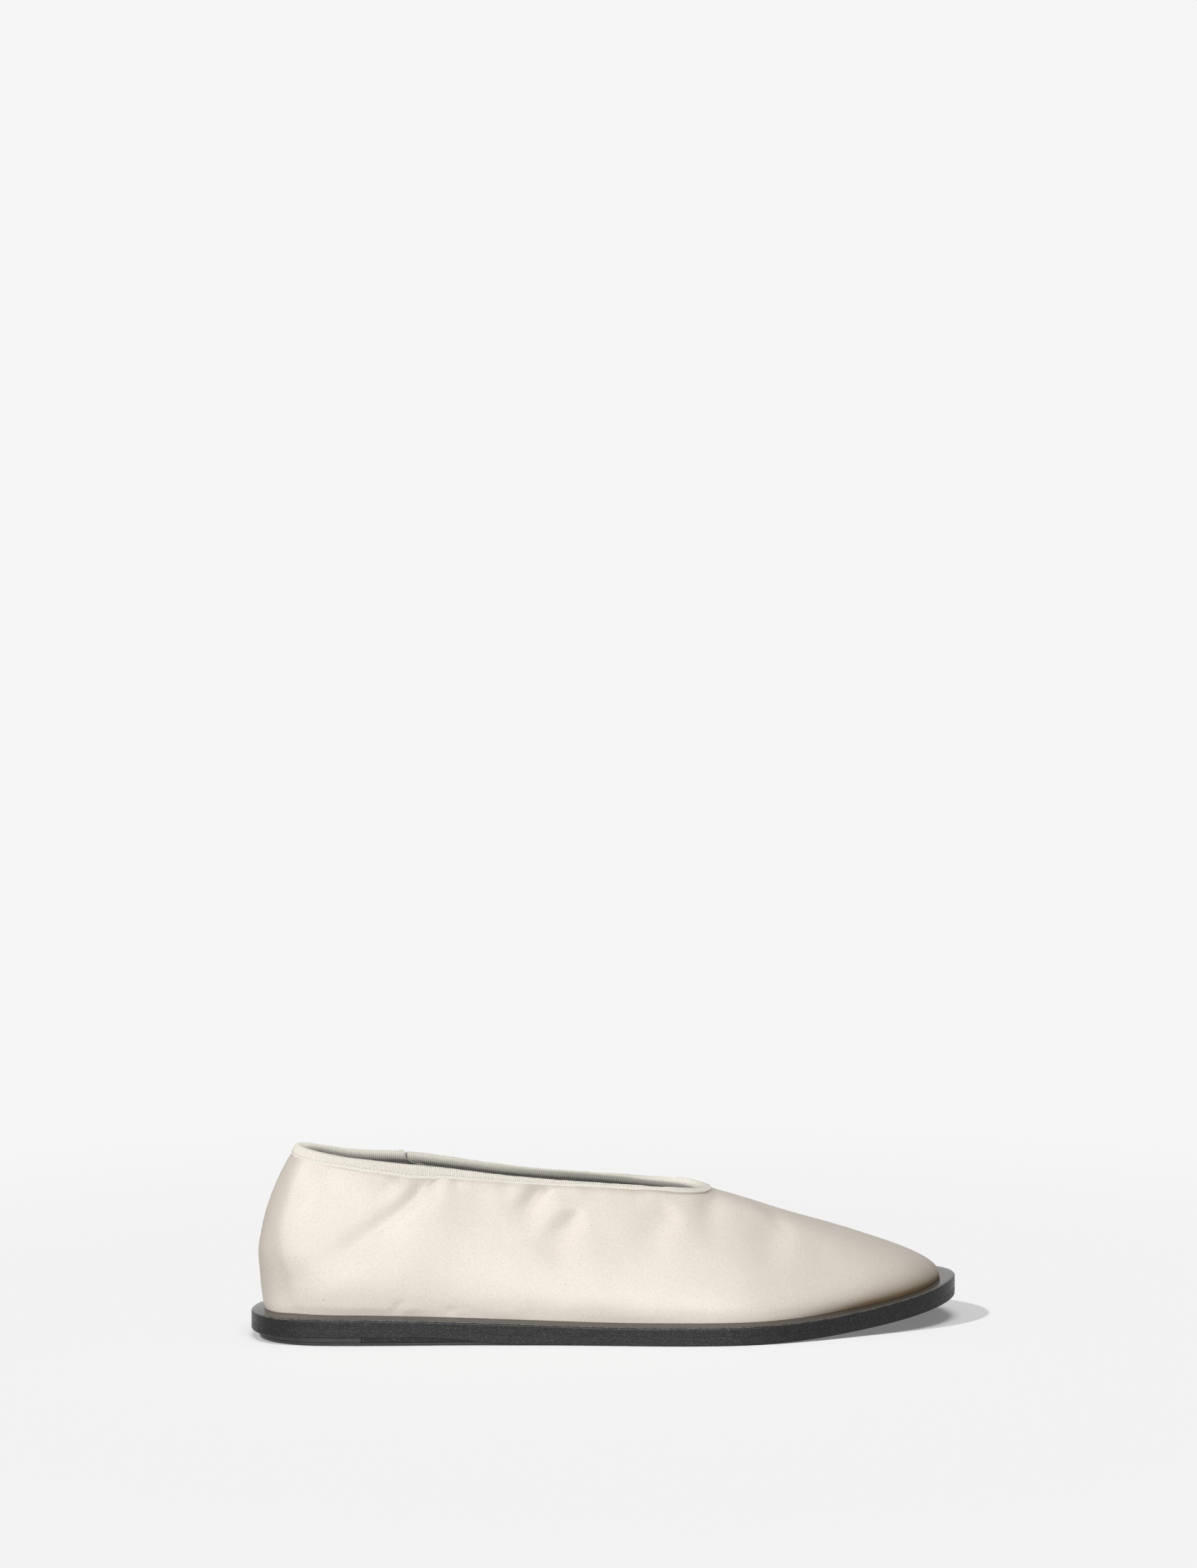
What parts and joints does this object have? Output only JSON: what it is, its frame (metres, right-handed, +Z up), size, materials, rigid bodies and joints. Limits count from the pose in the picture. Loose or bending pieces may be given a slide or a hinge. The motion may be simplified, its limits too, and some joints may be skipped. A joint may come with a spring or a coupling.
{
  "type": "ballet slipper",
  "caption": "Right-foot soft satin slip-on flat with a gathered ribbon topline and a thick leather sole that bends at the ball.",
  "frame": {"origin": "on the ground under the middle of the sole's bounding box", "axes": "+X from heel to toe, +Y to the inner (medial) side of this right shoe, +Z up"},
  "size_m": [0.2672, 0.0887, 0.0702],
  "materials": {
    "satin": "ivory duchess satin with a soft sheen",
    "ribbon": "fine-ribbed grosgrain ribbon",
    "thread": "cream sewing thread",
    "elastic": "white covered elastic",
    "lining": "soft smooth lining leather",
    "felt": "thin felt padding",
    "stiffener": "leatherboard",
    "sock": "smooth sock leather",
    "foam": "cushion foam",
    "cork": "cork filler sheet",
    "sole": "black waxed sole leather",
    "midsole": "black stained sole leather",
    "rubber": "black heel rubber",
    "steel": "plain steel"
  },
  "bodies": {
    "rear": {"upper_quarters": "satin", "topline_binding": "ribbon", "binding_stitching": "thread", "topline_elastic": "elastic", "lining_quarters": "lining", "interlining_outer": "felt", "interlining_inner": "felt", "heel_counter": "stiffener", "insole_board_rear": "stiffener", "sock_lining_rear": "sock", "heel_cushion": "foam", "waist_filler": "cork", "shank": "steel", "midsole_rear": "midsole", "outsole_rear": "sole", "heel_lift_wedge": "midsole", "heel_lift_rubber": "rubber", "heel_top_piece": "rubber", "heel_nail_1": "steel", "heel_nail_2": "steel", "heel_nail_3": "steel", "heel_nail_4": "steel", "heel_nail_5": "steel"},
    "forepart": {"upper_vamp": "satin", "lining_vamp": "lining", "toe_puff": "stiffener", "insole_forepart": "stiffener", "sock_lining_forepart": "sock", "forepart_filler": "cork", "midsole_forepart": "midsole", "outsole_forepart": "sole"}
  },
  "joints": [
    {"name": "ball_flex", "type": "hinge", "parent": "rear", "child": "forepart", "pos_m": [0.0455, 0, 0.0112], "axis": [0, -1, 0], "range_deg": [-4, 35], "stiffness_Nm_per_rad": 1.2, "deforming": ["upper_quarters", "upper_vamp", "lining_quarters", "lining_vamp", "sock_lining_rear", "sock_lining_forepart"]}
  ]
}
